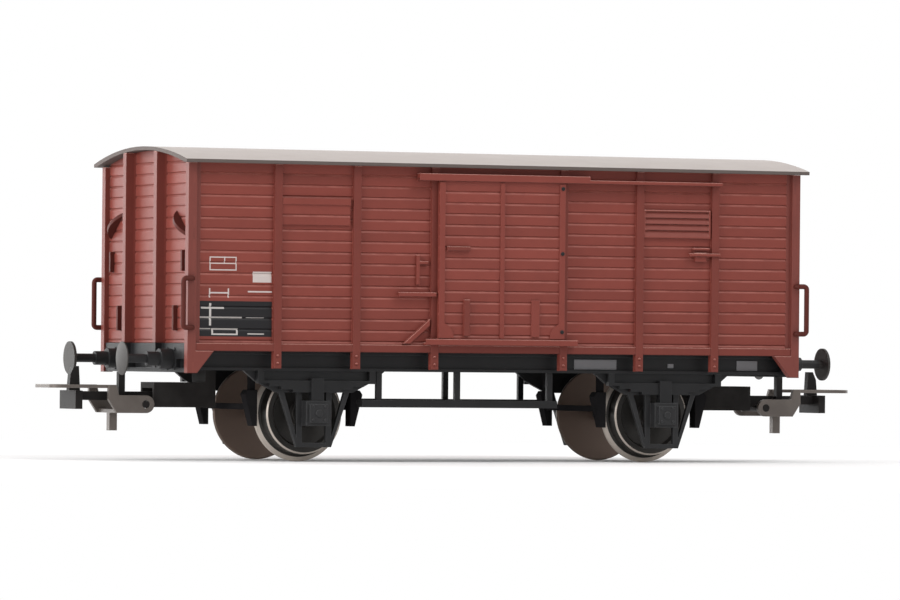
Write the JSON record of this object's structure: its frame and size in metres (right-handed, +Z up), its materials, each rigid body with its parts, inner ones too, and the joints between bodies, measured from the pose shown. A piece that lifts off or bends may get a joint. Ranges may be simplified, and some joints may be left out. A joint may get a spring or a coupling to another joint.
{
  "type": "model two-axle covered goods wagon, H0 scale",
  "caption": "Scale model of a two-axle covered railway wagon: boarded red body, arched grey roof, sliding side doors, turning wheelsets, swinging couplers with lifting loops.",
  "frame": {"origin": "bottom of the wheel flanges, under the middle of the wagon", "axes": "+X along the wagon, +Z up, -Y is the side seen in the picture"},
  "size_m": [0.1204, 0.0354, 0.0426],
  "materials": {
    "body_red": "oxide red moulded plastic, matt",
    "roof_grey": "light grey moulded plastic, matt",
    "floor_brown": "brown moulded plastic",
    "frame_black": "black moulded plastic, satin",
    "ballast_steel": "blackened steel sheet",
    "coupler_black": "dark moulded plastic",
    "loop_metal": "darkened metal strip",
    "wheel_black": "blackened metal wheel with bright tread",
    "axle_steel": "turned steel"
  },
  "bodies": {
    "wagon": {"axle_guard_left_far": "frame_black", "axle_guard_left_near": "frame_black", "axle_guard_right_far": "frame_black", "axle_guard_right_near": "frame_black", "ballast_plate": "ballast_steel", "brakes_left": "frame_black", "brakes_right": "frame_black", "buffer_left_far": "frame_black", "buffer_left_near": "frame_black", "buffer_right_far": "frame_black", "buffer_right_near": "frame_black", "coupler_pocket_left": "frame_black", "coupler_pocket_right": "frame_black", "door_fittings_far": "body_red", "door_fittings_near": "body_red", "door_rails_far": "body_red", "door_rails_near": "body_red", "end_wall_left": "body_red", "end_wall_right": "body_red", "floor": "floor_brown", "footboard_far": "frame_black", "footboard_near": "frame_black", "grab_irons_left": "body_red", "grab_irons_right": "body_red", "hatch_far": "body_red", "hatch_near": "body_red", "headstock_left": "frame_black", "headstock_right": "frame_black", "lamp_irons_left": "body_red", "lamp_irons_right": "body_red", "leaf_spring_left_far": "frame_black", "leaf_spring_left_near": "frame_black", "leaf_spring_right_far": "frame_black", "leaf_spring_right_near": "frame_black", "roof": "roof_grey", "side_wall_far": "body_red", "side_wall_near": "body_red", "sole_bar_far": "frame_black", "sole_bar_near": "frame_black", "vent_bolt_far": "body_red", "vent_bolt_near": "body_red", "vent_far": "body_red", "vent_near": "body_red"},
    "wheelset_left": {"axle_left": "axle_steel", "wheels_left": "wheel_black"},
    "wheelset_right": {"axle_right": "axle_steel", "wheels_right": "wheel_black"},
    "coupler_head_left": {"coupler_left": "coupler_black"},
    "coupler_head_right": {"coupler_right": "coupler_black"},
    "loop_left": {"coupling_loop_left": "loop_metal"},
    "loop_right": {"coupling_loop_right": "loop_metal"},
    "door_far": {"door_far": "body_red"},
    "door_near": {"door_near": "body_red"}
  },
  "joints": [
    {"name": "door_near_slide", "type": "slide", "parent": "wagon", "child": "door_near", "axis": [1, 0, 0], "range_m": [0, 0.0186]},
    {"name": "door_far_slide", "type": "slide", "parent": "wagon", "child": "door_far", "axis": [-1, 0, 0], "range_m": [0, 0.0186]},
    {"name": "wheelset_left_roll", "type": "hinge", "parent": "wagon", "child": "wheelset_left", "pos_m": [-0.026, 0, 0.0065], "axis": [0, 1, 0], "continuous": true},
    {"name": "coupler_left_swing", "type": "hinge", "parent": "wagon", "child": "coupler_head_left", "pos_m": [-0.041, 0, 0.0087], "axis": [0, 0, 1], "range_deg": [-10, 10], "stiffness_Nm_per_rad": 0.002},
    {"name": "loop_left_lift", "type": "hinge", "parent": "coupler_head_left", "child": "loop_left", "pos_m": [-0.0467, 0, 0.0076], "axis": [0, 1, 0], "range_deg": [0, 15]},
    {"name": "wheelset_right_roll", "type": "hinge", "parent": "wagon", "child": "wheelset_right", "pos_m": [0.026, 0, 0.0065], "axis": [0, 1, 0], "continuous": true},
    {"name": "coupler_right_swing", "type": "hinge", "parent": "wagon", "child": "coupler_head_right", "pos_m": [0.041, 0, 0.0087], "axis": [0, 0, 1], "range_deg": [-10, 10], "stiffness_Nm_per_rad": 0.002},
    {"name": "loop_right_lift", "type": "hinge", "parent": "coupler_head_right", "child": "loop_right", "pos_m": [0.0467, 0, 0.0076], "axis": [0, -1, 0], "range_deg": [0, 15]}
  ]
}
